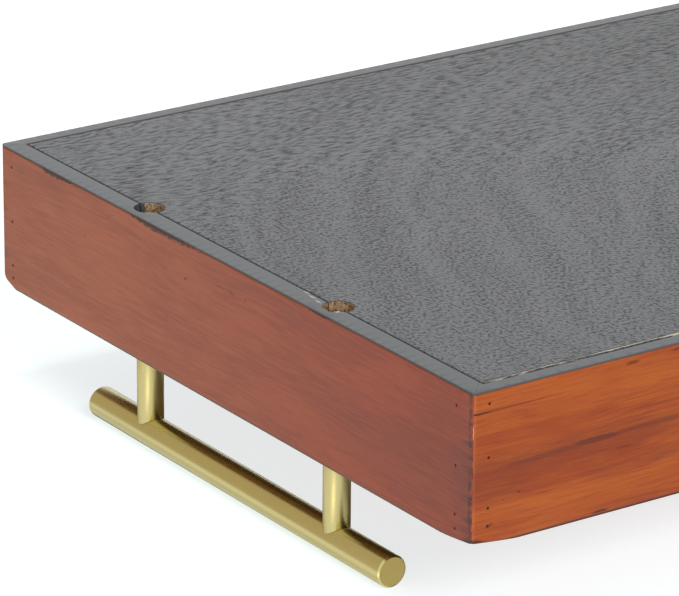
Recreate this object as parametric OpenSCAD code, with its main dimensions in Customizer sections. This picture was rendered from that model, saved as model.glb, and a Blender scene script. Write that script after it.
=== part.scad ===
// Wooden tray with a mitred, rebated frame, a flush bottom panel and two bar handles.
// The underside lies at z = 0, the side rails run along X, and the handles stand on the rim.

/* [Frame] */
// Outside length of the tray, along the side rails
tray_l = 470; // [320:5:620]
// Outside width of the tray, along the end rails
tray_w = 322; // [260:1:420]
// Height of the rails
rail_h = 60; // [45:1:90]
// Thickness of the rails
rail_t = 19; // [17:0.5:24]
// Rounding along both edges of the rim
rim_r = 3; // [1:0.5:6]
// Rounding of the upright edge at each corner
corner_r = 1.8; // [0.5:0.1:4]
// Easing along the outer edge of the underside
foot_r = 0.9; // [0.3:0.1:2]

/* [Bottom panel] */
// Thickness of the bottom panel, and depth of the rebate that holds it
panel_t = 5; // [3:0.5:8]
// Width of the strip left under the end rails, outside the rebate
end_lip = 9; // [6:0.5:12]
// Width of the strip left under the side rails, outside the rebate
side_lip = 7; // [5:0.5:12]
// Gap between the panel's edge and the wall of the rebate
panel_gap = 0.4; // [0.1:0.1:1]

/* [Handles] */
// Distance between the two posts of a handle
post_spacing = 128; // [96:1:140]
// Diameter of the posts
post_d = 10.5; // [8:0.5:12]
// Length of the handle bar
bar_l = 200; // [170:1:250]
// Diameter of the handle bar
bar_d = 12.7; // [12:0.1:16]
// Height of the bar's axis above the rim
bar_rise = 32; // [28:1:45]
// Chamfer round each end of the bar
bar_chamfer = 0.8; // [0.3:0.1:2]
// Gap between a post's saddle and the bar
saddle_gap = 0.05; // [0.02:0.01:0.2]

/* [Handle screws] */
// Diameter of the counterbore in the underside
counterbore_d = 12; // [10:0.5:14]
// Depth of the counterbore in the rail, past the bottom panel
counterbore_seat = 1; // [0.5:0.5:10]
// Diameter of the screw's shank
screw_d = 4; // [3:0.5:5]
// Play between the shank and the hole in the rail, all round
screw_play = 0.25; // [0.1:0.05:0.5]
// Diameter of the screw's head
head_d = 8; // [7:0.5:9]
// Height of the screw's head
head_h = 3; // [2:0.1:4]
// Rounding of the head's outer edge
head_round = 1; // [0.3:0.1:1.5]
// Length of screw inside the post
screw_reach = 10; // [6:1:12]
// Length across the cross recess in the head
recess_l = 4.4; // [3:0.1:5]
// Width of one arm of the cross recess
recess_w = 0.9; // [0.5:0.1:1.2]
// Depth of the cross recess
recess_deep = 1.6; // [0.8:0.1:2]

/* [Post studs] */
// Diameter of the threaded stud that joins a post to the bar
stud_d = 5; // [3:0.5:6]
// Length of stud inside the post
stud_in_post = 7; // [4:0.5:8]
// Length of stud inside the bar
stud_in_bar = 6; // [4:0.5:8]
// Play round a thread
thread_play = 0.05; // [0.02:0.01:0.1]
// Space left at the blind end of a tapped hole
blind_gap = 0.5; // [0.2:0.1:0.9]
// Chamfer at the ends of studs and screws
thread_chamfer = 0.6; // [0.2:0.1:1]

/* [Corner brads] */
// Distance from the corner to the brads driven through an end rail
end_brad_inset = 10; // [8:0.5:14]
// Distance from the corner to the brads driven through a side rail
side_brad_inset = 7; // [5:0.5:7.5]
// Diameter of a brad's shank
brad_d = 1.2; // [0.8:0.1:1.4]
// Diameter of a brad's head
brad_head_d = 1.9; // [1.6:0.1:2.2]
// Thickness of a brad's head
brad_head_h = 0.6; // [0.3:0.1:1]
// Length of a brad
brad_l = 28; // [20:1:35]
// Length of a brad's point
brad_point = 1.5; // [0.5:0.5:3]
// Diameter of the flat at the end of a brad's point
brad_tip_d = 0.3; // [0.1:0.1:0.6]
// Depth of a brad's head below the wood, and thickness of the filler over it
brad_set = 1.5; // [0.5:0.1:3]
// Play round a brad and round its filler
brad_play = 0.05; // [0.02:0.01:0.1]

/* [Hidden] */
$fn = 96;
// How far a cut runs past the surface that it opens
overrun = 1;
// Heights of the end rails' brads, as shares of the rail's height
end_brad_shares = [0.12, 0.5, 0.81, 0.9];
// Heights of the side rails' brads, as shares of the rail's height
side_brad_shares = [0.08, 0.42, 0.74, 0.855];

wood_colour = "#a2592f";
end_wood_colour = "#9a5a40";
panel_colour = "#5f6163";
brass_colour = "#b7a661";
steel_colour = "#b9bbbd";
filler_colour = "#3a2015";

half_l = tray_l / 2;
half_w = tray_w / 2;
// Centre line of the end rails, where the posts and screws stand
post_x = half_l - rail_t / 2;
post_y = post_spacing / 2;
bar_r = bar_d / 2;
bar_z = rail_h + bar_rise;
saddle_z = bar_z - bar_r;
seat_z = panel_t + counterbore_seat;
pocket_l = tray_l - 2 * end_lip;
pocket_w = tray_w - 2 * side_lip;
screw_r = screw_d / 2;
stud_r = stud_d / 2;
head_r = head_d / 2;
brad_hole_r = brad_d / 2 + brad_play;
filler_hole_r = brad_head_d / 2 + brad_play;

// What a quarter round of radius r takes off a square edge, with the edge at the origin
module edge_waste(r) {
    difference() {
        translate([-overrun, -overrun]) square(r + overrun);
        translate([r, r]) circle(r = r);
    }
}

// Section of a rail: outer face at x = 0, underside at y = 0
module rail_section() {
    difference() {
        square([rail_t, rail_h]);
        edge_waste(foot_r);
        translate([0, rail_h]) mirror([0, 1]) edge_waste(rim_r);
        translate([rail_t, rail_h]) rotate(180) edge_waste(rim_r);
    }
}

// A rail along Y with its outer face at x = 0, mitred at both ends
module mitred_rail(run) {
    intersection() {
        rotate([90, 0, 0])
            linear_extrude(height = run, center = true) rail_section();
        linear_extrude(height = rail_h)
            polygon([
                [0, -run / 2],
                [rail_t, rail_t - run / 2],
                [rail_t, run / 2 - rail_t],
                [0, run / 2]
            ]);
    }
}

// The tray's plan, with its corner edges rounded
module tray_plan() {
    square([tray_l - 2 * corner_r, tray_w], center = true);
    square([tray_l, tray_w - 2 * corner_r], center = true);
    for (sx = [-1, 1], sy = [-1, 1])
        translate([sx * (half_l - corner_r), sy * (half_w - corner_r)])
            circle(r = corner_r);
}

// The rebate for the bottom panel, open below
module panel_rebate() {
    translate([-pocket_l / 2, -pocket_w / 2, -overrun])
        cube([pocket_l, pocket_w, panel_t + overrun]);
}

// Counterbore and screw hole under each post
module screw_channels() {
    for (sx = [-1, 1], sy = [-1, 1])
        translate([sx * post_x, sy * post_y, -overrun]) {
            cylinder(d = counterbore_d, h = seat_z + overrun);
            cylinder(r = screw_r + screw_play, h = rail_h + 2 * overrun);
        }
}

// Puts what follows at the end rail's brads of one corner, pointing into the wood
module at_end_brads(sx, sy) {
    for (share = end_brad_shares)
        translate([sx * half_l, sy * (half_w - end_brad_inset), share * rail_h])
            rotate([0, -sx * 90, 0]) children();
}

// Puts what follows at the side rail's brads of one corner, pointing into the wood
module at_side_brads(sx, sy) {
    for (share = side_brad_shares)
        translate([sx * (half_l - side_brad_inset), sy * half_w, share * rail_h])
            rotate([sy * 90, 0, 0]) children();
}

module at_corner_brads(sx, sy) {
    at_end_brads(sx, sy) children();
    at_side_brads(sx, sy) children();
}

// Hole that a brad and its filler leave in the wood
module brad_hole() {
    translate([0, 0, -overrun])
        cylinder(r = filler_hole_r, h = overrun + brad_set + brad_head_h);
    cylinder(r = brad_hole_r, h = brad_set + brad_l + blind_gap);
}

module brad_holes() {
    for (sx = [-1, 1], sy = [-1, 1])
        at_corner_brads(sx, sy) brad_hole();
}

module brad() {
    translate([0, 0, brad_set]) {
        cylinder(d = brad_head_d, h = brad_head_h);
        cylinder(d = brad_d, h = brad_l - brad_point);
        translate([0, 0, brad_l - brad_point])
            cylinder(d1 = brad_d, d2 = brad_tip_d, h = brad_point);
    }
}

// Everything that is cut out of the frame
module frame_cuts() {
    panel_rebate();
    screw_channels();
    brad_holes();
}

// Rail across the tray, at the left for side = -1 and at the right for side = 1
module end_rail(side) {
    color(end_wood_colour)
        difference() {
            intersection() {
                mirror([side > 0 ? 1 : 0, 0, 0])
                    translate([-half_l, 0, 0]) mitred_rail(tray_w);
                linear_extrude(height = rail_h) tray_plan();
            }
            frame_cuts();
        }
}

// Rail along the tray, at the front for side = -1 and at the back for side = 1
module side_rail(side) {
    color(wood_colour)
        difference() {
            intersection() {
                mirror([0, side > 0 ? 1 : 0, 0])
                    rotate([0, 0, 90]) translate([-half_w, 0, 0]) mitred_rail(tray_l);
                linear_extrude(height = rail_h) tray_plan();
            }
            frame_cuts();
        }
}

// Panel flush with the underside, notched where the counterbores cross its edge
module bottom_panel() {
    color(panel_colour)
        difference() {
            translate([panel_gap - pocket_l / 2, panel_gap - pocket_w / 2, 0])
                cube([pocket_l - 2 * panel_gap, pocket_w - 2 * panel_gap, panel_t]);
            screw_channels();
        }
}

// Round bar along Y with chamfered ends, centred on the origin
module bar_blank() {
    rotate([90, 0, 0])
        rotate_extrude()
            polygon([
                [0, -bar_l / 2],
                [bar_r - bar_chamfer, -bar_l / 2],
                [bar_r, bar_chamfer - bar_l / 2],
                [bar_r, bar_l / 2 - bar_chamfer],
                [bar_r - bar_chamfer, bar_l / 2],
                [0, bar_l / 2]
            ]);
}

// Handle bar over one end rail, tapped from below for its two studs
module handle_bar(side) {
    color(brass_colour)
        difference() {
            translate([side * post_x, 0, bar_z]) bar_blank();
            for (sy = [-1, 1])
                translate([side * post_x, sy * post_y, saddle_z - overrun])
                    cylinder(r = stud_r + thread_play, h = overrun + stud_in_bar + blind_gap);
        }
}

// Post on the rim, hollowed to a saddle under the bar and tapped at both ends
module post(sx, sy) {
    color(brass_colour)
        translate([sx * post_x, sy * post_y, rail_h])
            difference() {
                cylinder(d = post_d, h = bar_rise);
                translate([0, 0, bar_rise])
                    rotate([90, 0, 0])
                        cylinder(r = bar_r + saddle_gap, h = post_d + 2 * overrun, center = true);
                translate([0, 0, -overrun])
                    cylinder(r = screw_r + thread_play, h = overrun + screw_reach + blind_gap);
                translate([0, 0, bar_rise - bar_r - stud_in_post - blind_gap])
                    cylinder(r = stud_r + thread_play, h = bar_rise);
            }
}

// Threaded rod of diameter d with chamfered ends
module threaded_rod(d, run) {
    rotate_extrude()
        polygon([
            [0, 0],
            [d / 2 - thread_chamfer, 0],
            [d / 2, thread_chamfer],
            [d / 2, run - thread_chamfer],
            [d / 2 - thread_chamfer, run],
            [0, run]
        ]);
}

// The two studs that hold one bar on its posts
module post_studs(side) {
    color(steel_colour)
        for (sy = [-1, 1])
            translate([side * post_x, sy * post_y, saddle_z - stud_in_post])
                threaded_rod(stud_d, stud_in_post + stud_in_bar);
}

// Half section of the pan head, with its seat at y = 0
module head_section() {
    square([head_r - head_round, head_h]);
    square([head_r, head_h - head_round]);
    translate([head_r - head_round, head_h - head_round])
        intersection() {
            circle(r = head_round);
            square(head_round);
        }
}

// Machine screw with its seat at z = 0, its head below and its shank above
module handle_screw() {
    difference() {
        union() {
            mirror([0, 0, 1]) rotate_extrude() head_section();
            threaded_rod(screw_d, rail_h - seat_z + screw_reach);
        }
        for (turn = [0, 90])
            rotate(turn)
                translate([-recess_l / 2, -recess_w / 2, -head_h - overrun])
                    cube([recess_l, recess_w, recess_deep + overrun]);
    }
}

// The two screws that hold one handle, driven up from the counterbores
module handle_screws(side) {
    color(steel_colour)
        for (sy = [-1, 1])
            translate([side * post_x, sy * post_y, seat_z]) handle_screw();
}

module corner_brads(sx, sy) {
    color(steel_colour)
        at_corner_brads(sx, sy) brad();
}

module brad_fillers(sx, sy) {
    color(filler_colour)
        at_corner_brads(sx, sy) cylinder(d = brad_head_d, h = brad_set);
}

end_rail(-1);  // end_rail_left
end_rail(1);  // end_rail_right
side_rail(-1);  // side_rail_front
side_rail(1);  // side_rail_back
bottom_panel();
handle_bar(-1);  // handle_bar_left
handle_bar(1);  // handle_bar_right
post(-1, -1);  // post_left_front
post(-1, 1);  // post_left_back
post(1, -1);  // post_right_front
post(1, 1);  // post_right_back
post_studs(-1);  // post_studs_left
post_studs(1);  // post_studs_right
handle_screws(-1);  // handle_screws_left
handle_screws(1);  // handle_screws_right
corner_brads(-1, -1);  // corner_brads_front_left
corner_brads(1, -1);  // corner_brads_front_right
corner_brads(-1, 1);  // corner_brads_back_left
corner_brads(1, 1);  // corner_brads_back_right
brad_fillers(-1, -1);  // brad_fillers_front_left
brad_fillers(1, -1);  // brad_fillers_front_right
brad_fillers(-1, 1);  // brad_fillers_back_left
brad_fillers(1, 1);  // brad_fillers_back_right
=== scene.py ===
"""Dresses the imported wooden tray: rails, panel, handles, fastenings, finishes, studio and camera."""
import math

import bmesh
import bpy
from mathutils import Matrix, Vector


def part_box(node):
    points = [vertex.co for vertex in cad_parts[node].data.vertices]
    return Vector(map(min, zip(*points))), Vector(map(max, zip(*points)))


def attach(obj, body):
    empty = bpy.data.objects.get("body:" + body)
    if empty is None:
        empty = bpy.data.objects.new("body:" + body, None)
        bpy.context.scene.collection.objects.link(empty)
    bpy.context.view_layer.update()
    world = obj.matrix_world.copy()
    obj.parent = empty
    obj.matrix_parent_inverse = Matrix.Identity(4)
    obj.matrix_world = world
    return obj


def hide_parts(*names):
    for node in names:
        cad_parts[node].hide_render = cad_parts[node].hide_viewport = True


bl_info = {
    "name": "Wooden Tray with Handles",
    "version": (1, 0, 0),
    "blender": (4, 5, 0),
    "location": "3D View > Sidebar > Tray",
    "description": "Builds a mitred wooden tray with two bar handles around its packed frame",
    "category": "Object",
}

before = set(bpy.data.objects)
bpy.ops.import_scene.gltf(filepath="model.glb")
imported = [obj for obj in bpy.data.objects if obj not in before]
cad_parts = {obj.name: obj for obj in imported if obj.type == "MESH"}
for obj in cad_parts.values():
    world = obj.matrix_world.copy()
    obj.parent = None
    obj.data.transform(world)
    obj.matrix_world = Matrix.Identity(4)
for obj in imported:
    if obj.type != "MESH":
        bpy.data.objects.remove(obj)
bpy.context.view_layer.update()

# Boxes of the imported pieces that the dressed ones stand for
END_LOW, END_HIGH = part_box("end_rail_left")
_, SIDE_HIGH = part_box("side_rail_back")
PANEL_LOW, PANEL_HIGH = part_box("bottom_panel")
BAR_LOW, BAR_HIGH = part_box("handle_bar_left")
POST_LOW, POST_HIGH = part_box("post_left_back")

HALF_L = -END_LOW.x
HALF_W = SIDE_HIGH.y
RAIL_H = END_HIGH.z
RAIL_T = END_HIGH.x - END_LOW.x
PANEL_T = PANEL_HIGH.z
POST_X = -(POST_LOW.x + POST_HIGH.x) / 2
POST_Y = (POST_LOW.y + POST_HIGH.y) / 2
BAR_R = (BAR_HIGH.z - BAR_LOW.z) / 2
BAR_Z = (BAR_HIGH.z + BAR_LOW.z) / 2

FILLERS = [f"brad_fillers_{half}_{end}" for half in ("front", "back") for end in ("left", "right")]

ORIGIN = (0.0, 0.0, 0.0)
DOWN = (0.0, 0.0, -1.0)
# Two places nearer than this count as one
NEAR = 1e-6
# How far a cutter runs past the surface that it opens
OVERRUN = 0.001
# Edges that turn by less than this are shaded smooth
SMOOTH_ANGLE = math.radians(30)
# The floors lie this far off the tray, so that no face coincides with them
FLOOR_GAP = 0.0004
# Side of the floors, and how far the camera sees
FLOOR_SIZE = 60.0
CLIP_END = 100.0
# A face larger than this, and as square to an axis as this cosine, is flat on the real tray
BROAD_AREA = 2e-5
SQUARE_ON = 0.9999
# Sides of the rods, and segments of the rounded edges
BAR_SIDES = 96
BORE_SIDES = 72
POST_SIDES = 64
HOLE_SIDES = 32
DOT_SIDES = 24
SHAFT_SIDES = 16
RIM_SEGMENTS = 8
FOOT_SEGMENTS = 4
EASE_SEGMENTS = 2
# Leans of the flats that the tips of the rim are sanded in, in degrees
TIP_LEANS = (15, 30, 45, 60, 75)
# Turn from one filling to the next, in radians, so that no two show the same dot
PLUG_TURN = 2.4
# Seeds of the wear along the foot and of the uneven dot
WEAR_SEED = 11
DOT_SEED = 4
# How far into the wood a mark reaches
MARK_DEEP = 0.002


# Settings


def length(name, description, default):
    """A distance that a user can set."""
    return bpy.props.FloatProperty(name=name, description=description, default=default, min=0.0, unit="LENGTH")


def count(name, description, default):
    """A whole number that a user can set."""
    return bpy.props.IntProperty(name=name, description=description, default=default, min=1)


def colour(name, description, default):
    """A linear colour that a user can set."""
    return bpy.props.FloatVectorProperty(
        name=name, description=description, default=(*default, 1.0), size=4, min=0.0, max=1.0, subtype="COLOR"
    )


def share(name, description, default):
    """A share from 0 to 1 that a user can set."""
    return bpy.props.FloatProperty(name=name, description=description, default=default, min=0.0, max=1.0)


def lamp(name, description, default):
    """The strength of a lamp."""
    return bpy.props.FloatProperty(name=name, description=description, default=default, min=0.0)


def angle(name, description, degrees):
    """An angle that a user can set."""
    return bpy.props.FloatProperty(name=name, description=description, default=math.radians(degrees), subtype="ANGLE")


class FrameSizes(bpy.types.PropertyGroup):
    """Sizes of the mitred frame and its panel."""

    rim_round: length("Rim rounding", "Radius along both edges of the rim", 0.003)
    tip_run: length("Tip run", "How far along the rim the sanding reaches from the back corners", 0.0240)
    front_run: length("Front tip run", "How far along the rim the sanding reaches from the front corners", 0.0110)
    knock_run: length("Knock run", "How far along the rim the blunting reaches at the front corners", 0.0060)
    knock_drop: length("Knock drop", "Height that the blunting takes off at the front corners", 0.0085)
    tip_drop: length("Tip drop", "Height that the sanding takes off the upright edge at each corner", 0.0034)
    foot_round: length("Foot easing", "Radius along the outer edge of the underside", 0.0009)
    corner_round: length("Corner rounding", "Radius of the upright edges at the back", 0.0018)
    front_round: length("Front corner rounding", "Radius of the more worn upright edges at the front", 0.0045)
    end_lip: length("End lip", "Width of the underside outside the rebate, under the end rails", 0.009)
    side_lip: length("Side lip", "Width of the underside outside the rebate, under the side rails", 0.0066)
    bore_r: length("Counterbore radius", "Radius of the screw counterbores", 0.006)
    bore_deep: length("Counterbore depth", "Depth of the screw counterbores", 0.006)
    screw_hole_r: length("Screw hole radius", "Radius of the hole through the end rail", 0.00225)
    dot_hole_r: length("Brad recess radius", "Radius of the recess over a brad's head", 0.001)
    dot_hole_deep: length("Brad recess depth", "Depth of the recess over a brad's head", 0.0021)
    brad_hole_r: length("Brad hole radius", "Radius of the hole round a brad", 0.00065)
    brad_hole_deep: length("Brad hole depth", "Depth of the hole round a brad", 0.03)
    mitre_ease: length("Mitre easing", "Width taken off the edges of a mitre", 0.00012)
    arris_wear: length("Arris wear", "How far the outer edge of the underside wanders", 0.0001)
    arris_steps: count("Arris steps", "Cuts along each outer edge of the underside", 60)
    seam_ease: length("Seam easing", "Width taken off the rails along the bottom panel", 0.00033)
    panel_ease: length("Panel easing", "Width taken off the edges of the bottom panel", 0.00046)
    bead: length("Putty bead", "Width of the putty left along the near edge of the bottom panel", 0.0010)
    groove: length("Putty groove", "Width and depth of the groove beside the putty", 0.0004)
    plug_r: length("Plug radius", "Radius of the filling over a brad's head", 0.00099)
    plug_deep: length("Plug depth", "Depth of the filling over a brad's head", 0.0015)
    dot_r: length("Dot radius", "Radius of the dark dot that shows in a filling", 0.0006)
    dot_dish: length("Dot dish", "How far the dark dot has sunk", 0.0002)


class HandleSizes(bpy.types.PropertyGroup):
    """Sizes of the bars and posts."""

    chamfer: length("Bar chamfer", "Chamfer round each end of the bar", 0.0006)
    edge_ease: length("Edge easing", "Rounding of the turned edges", 0.00015)
    saddle_gap: length("Saddle gap", "Gap between a post's saddle and the bar", 0.00005)
    screw_hole_r: length("Screw hole radius", "Radius of the tapped hole in the foot of a post", 0.00205)
    screw_hole_deep: length("Screw hole depth", "Depth of the tapped hole in the foot of a post", 0.0105)
    stud_hole_r: length("Stud hole radius", "Radius of the tapped holes for the stud", 0.00255)
    stud_in_post: length("Stud hole in the post", "Depth of the stud's hole below the bar", 0.0075)
    stud_in_bar: length("Stud hole in the bar", "Depth of the stud's hole above the bar's underside", 0.0065)


class TrayColours(bpy.types.PropertyGroup):
    """Colours of the finishes."""

    end_stain: colour("End rail stain", "Stain on the end rails", (0.374, 0.096, 0.036))
    end_dark: colour("End rail shade", "Darker stain on the end rails", (0.285, 0.065, 0.024))
    # These two colours paint the end rails darker towards +Y: painted lack of sheen there, broken up by blotchy stain
    end_deep_low_sheen: colour("End rail depths", "Darker stain pooled at their back", (0.195, 0.019, 0.003))
    end_pool_low_sheen: colour("End rail pooling", "Stain pooled at their back", (0.300, 0.038, 0.006))
    side_stain: colour("Side rail stain", "Stain on the side rails", (0.478, 0.108, 0.015))
    side_dark: colour("Side rail shade", "Darker streaks on the side rails", (0.315, 0.050, 0.010))
    plum: colour("Plum streak", "Purple brown streaks in both", (0.125, 0.024, 0.016))
    # This colour is also laid on as painted shade along the outer rim and in the counterbores
    grime_and_shade: colour("Grime", "Dark lines and specks in the stain", (0.030, 0.010, 0.006))
    chip: colour("Worn edge", "Stain rubbed thin on the upright edges", (0.66, 0.36, 0.15))
    foot: colour("Foot line", "Stain and dirt along the edge of the paint", (0.085, 0.026, 0.012))
    raw_wood: colour("Raw wood", "Wood where the finish is worn or drilled away", (0.40, 0.26, 0.14))
    putty: colour("Putty", "Cream putty beside the bottom panel", (0.451, 0.398, 0.297))
    paint: colour("Underside paint", "Black paint on the underside", (0.050, 0.055, 0.061))
    worn_paint: colour("Panel paint", "Black paint on the ridges between the panel's pores", (0.072, 0.076, 0.082))
    brass: colour("Pale brass", "Satin brass of the handles", (0.62, 0.548, 0.248))
    # Painted reflection: the bar ends get a darker brass for the darker surroundings that they reflect
    brass_end_dim_reflection: colour("Turned brass", "Brass on the turned ends of the bars", (0.64, 0.50, 0.165))
    steel: colour("Zinc plate", "Plating on the screws, studs and brads", (0.84, 0.85, 0.86))
    filler: colour("Brad filler", "Dark filler over the brads", (0.035, 0.010, 0.006))


class StudioSettings(bpy.types.PropertyGroup):
    """Light, floors and camera."""

    ambient: share("Ambient light", "Strength of the world on matt surfaces", 0.45)
    crown_lamp: lamp("Crown lamp", "Soft sun straight over the upturned tray", 1.1)
    front_lamp: lamp("Front lamp", "Soft sun on the near side rail", 1.95)
    end_lamp: lamp("End lamp", "Soft sun on the left end and the upright rim", 1.25)
    fill_lamp: lamp("Fill lamp", "Soft sun on the far sides", 1.9)
    floor_grey: share("Floor reflectance", "Share of the light that the floor gives back", 0.415)
    floor_glow: share("Floor glow", "White that the floor adds for the camera", 0.724)
    lens: bpy.props.FloatProperty(name="Lens", description="Focal length in mm", default=261.313)
    look_azimuth: angle("Look azimuth", "Heading of the view", -55.370)
    look_elevation: angle("Look elevation", "Rise of the view", 20.727)
    roll: angle("Roll", "Turn of the camera about its view", 0.4243)
    place: bpy.props.FloatVectorProperty(
        name="Camera place", description="Where the camera stands", default=(-1.17660, 1.44197, -0.63698),
        subtype="TRANSLATION",
    )


# Marks, lamps and cards


def on_end(u, z, half_y, half_z, rise=0.0, depth=0.9, fray=0.5):
    """A mark on the left end, u from the near corner."""
    return (-HALF_L, HALF_W - u, z), (MARK_DEEP, half_y, half_z), rise, depth, fray


def on_side(v, z, half_x, half_z, rise=0.0, depth=0.9, fray=0.5):
    """A mark on the near side, v from the near corner."""
    return (v - HALF_L, HALF_W, z), (half_x, MARK_DEEP, half_z), rise, depth, fray


# Marks in the stain of the two near faces: place, half length and half height, rise, depth of tone and fray
END_MARKS = [
    on_end(0.2570, 0.0191, 0.0006, 0.0005),
    on_end(0.1848, 0.0146, 0.0011, 0.0006),
    on_end(0.1438, 0.0104, 0.0006, 0.0005),
    on_end(0.1610, 0.0105, 0.0058, 0.00026, 0.04, 0.90, 0.5),
    on_end(0.1535, 0.0104, 0.0034, 0.00028, -0.05, 0.90, 0.6),
]
END_STREAKS = [
    on_end(0.0400, 0.0400, 0.0700, 0.0160, 0.0, 0.22, 0.4),
    on_end(0.0060, 0.0340, 0.0120, 0.0200, 0.0, 0.35, 0.6),
    on_end(0.2900, 0.0060, 0.0300, 0.0035, 0.0, 0.20, 0.6),
    on_end(0.1300, 0.0050, 0.0400, 0.0030, 0.0, 0.15, 0.6),
]
SIDE_MARKS = [
    on_side(0.0030, 0.0079, 0.0075, 0.00050, 0.0, 0.90, 0.7),
    on_side(0.0210, 0.0079, 0.0220, 0.00030, 0.0, 0.55, 0.9),
    on_side(0.0205, 0.0412, 0.0011, 0.00040, 0.0, 0.80, 0.6),
    on_side(0.0136, 0.0426, 0.0006, 0.00040, 0.0, 0.60, 0.6),
    on_side(0.0700, 0.0030, 0.0038, 0.00090, 0.0, 0.60, 1.3),
    on_side(0.0900, 0.0021, 0.0032, 0.00070, 0.0, 0.55, 1.2),
    on_side(0.0670, 0.0346, 0.0050, 0.00040, 0.0, 0.45, 0.8),
    on_side(0.0570, 0.0572, 0.0048, 0.00055, 0.0, 0.85, 0.8),
    on_side(0.0080, 0.0512, 0.0022, 0.00090, -0.3, 0.40, 0.9),
]
SIDE_STREAKS = [
    on_side(0.0550, 0.0289, 0.0160, 0.0018, 0.00, 0.85, 0.5),
    on_side(0.0330, 0.0299, 0.0300, 0.0016, -0.02, 0.65, 0.5),
    on_side(0.0780, 0.0284, 0.0280, 0.0015, -0.02, 0.65, 0.5),
    on_side(0.0500, 0.0300, 0.0700, 0.0080, -0.02, 0.30, 0.5),
    on_side(0.0060, 0.0340, 0.0300, 0.0120, 0.00, 0.28, 0.5),
    on_side(0.0830, 0.0212, 0.0230, 0.0007, 0.00, 0.35, 0.7),
    on_side(0.0720, 0.0410, 0.0300, 0.0060, 0.00, 0.14, 0.6),
]
# Cream putty chipped loose beside the left counterbore at the back
SEAM_CHIPS = [
    ((0.0082 - HALF_L, HALF_W - 0.1155, 0.0), (0.0006, 0.0026, 0.001), 0.0, 0.65, 1.0),
    ((0.0073 - HALF_L, HALF_W - 0.1105, 0.0), (0.0006, 0.0030, 0.001), 0.0, 0.65, 1.0),
    ((0.0064 - HALF_L, HALF_W - 0.1055, 0.0), (0.0006, 0.0026, 0.001), 0.0, 0.65, 1.0),
]
# Places on the left end where the black paint laps furthest over the edge
END_LAPS = [
    on_end(0.2020, 0.0005, 0.0260, 0.0020, 0.0, 1.0, 2.0),
    on_end(0.2780, 0.0005, 0.0150, 0.0018, 0.0, 1.0, 2.0),
    on_end(0.0950, 0.0002, 0.0100, 0.0010, 0.0, 1.0, 1.2),
]

# Heart of the panel's curved figure
FIGURE_HEART = (0.115, 0.181, 0.0)

# Lamps: name, direction that the light comes from and spread in degrees
LAMPS = (
    ("crown_lamp", (0.02, 0.0, -1.0), 16.0),
    ("front_lamp", (-0.15, 0.81, -0.57), 20.0),
    ("end_lamp", (-0.75, 0.15, 0.64), 50.0),
    ("fill_lamp", (0.50, -0.60, 0.62), 50.0),
)
# Cards that gloss shows: name, centre, facing, width, height, softness of the edge, tone and another tone in the
# middle. The dark cards are painted shade in reflections, standing for the shaded rim and opening of the upturned tray
# and the shadowed ground beside and under it; the brightest card is a painted highlight.
CARDS = (
    ("left_card", (-0.80, -1.30, -0.85), (0.80, 1.30, 0.0), 2.4, 2.5, 0.2, (0.60, 0.51, 0.37)),
    ("right_card", (0.85, 1.23, 0.20), (-0.85, -1.23, 0.0), 2.0, 1.8, 0.25, (0.25, 0.25, 0.25)),
    # A grey card near the end of the near bar: a painted reflection on its turned end
    ("tip_card", (-0.168, 0.186, 0.130), (-0.53, -0.77, -0.354), 0.07, 0.06, 0.012, (0.6, 0.6, 0.6)),
    # A bright card that glows only in reflections: a painted highlight
    ("glow_card", (-1.28, 0.77, 0.57), (1.28, -0.77, -0.57), 0.7, 0.6, 0.25, (3.6, 3.5, 3.1)),
    ("under_card", (-0.36, -0.60, 0.45), DOWN, 0.60, 0.90, 0.08, (0.74, 0.73, 0.66)),
    # The dark cards from here on are painted shade in reflections: shaded rim and opening of the tray, shadowed ground
    # beside and under it
    ("limb_card", (0.20, -0.70, 0.449), DOWN, 0.62, 1.00, 0.06, (0.10, 0.09, 0.06)),
    (
        "mouth_card", (0.0, 0.0, RAIL_H + 0.0006), (0.0, 0.0, 1.0), 2 * HALF_L, 2 * HALF_W, 0.001,
        (0.14, 0.065, 0.020), (0.048, 0.027, 0.010),
    ),
    (
        "shade_card", (-0.120, 0.0, BAR_Z + BAR_R + 0.0008), DOWN, 0.160, 2 * HALF_W - 0.004, 0.050,
        (0.075, 0.046, 0.018),
    ),
    ("fringe_card", (-0.196, -0.035, BAR_Z + BAR_R + 0.0007), DOWN, 0.052, 0.240, 0.020, (0.110, 0.070, 0.028)),
    ("edge_card", (-0.15, -1.60, 0.45), DOWN, 0.90, 0.80, 0.08, (0.06, 0.045, 0.035)),
    ("rim_card", (0.20, 0.03, 0.30), DOWN, 0.70, 0.46, 0.05, (0.10, 0.06, 0.045)),
)


# Modelling helpers


def only(*pieces):
    """Leave edit mode, select just these pieces and make the first one active."""
    if bpy.context.mode != "OBJECT":
        bpy.ops.object.mode_set(mode="OBJECT")
    bpy.ops.object.select_all(action="DESELECT")
    for piece in pieces:
        piece.select_set(True)
    bpy.context.view_layer.objects.active = pieces[0]


def remove(piece):
    """Delete a piece."""
    only(piece)
    bpy.ops.object.delete()


def edit(piece, kind="EDGE"):
    """Open a piece in edit mode with nothing selected."""
    only(piece)
    bpy.ops.object.mode_set(mode="EDIT")
    bpy.ops.mesh.select_mode(type=kind)
    bpy.ops.mesh.select_all(action="DESELECT")


def close():
    """Leave edit mode."""
    bpy.ops.object.mode_set(mode="OBJECT")


def pick(piece, wanted, kind="edges"):
    """In edit mode, select the vertices, edges or faces that wanted() accepts."""
    mesh = bmesh.from_edit_mesh(piece.data)
    found = [element for element in getattr(mesh, kind) if wanted(element)]
    for element in found:
        element.select_set(True)
    mesh.select_flush_mode()
    bmesh.update_edit_mesh(piece.data)
    if not found:
        raise RuntimeError(f"{piece.name} has no such {kind}")


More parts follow.
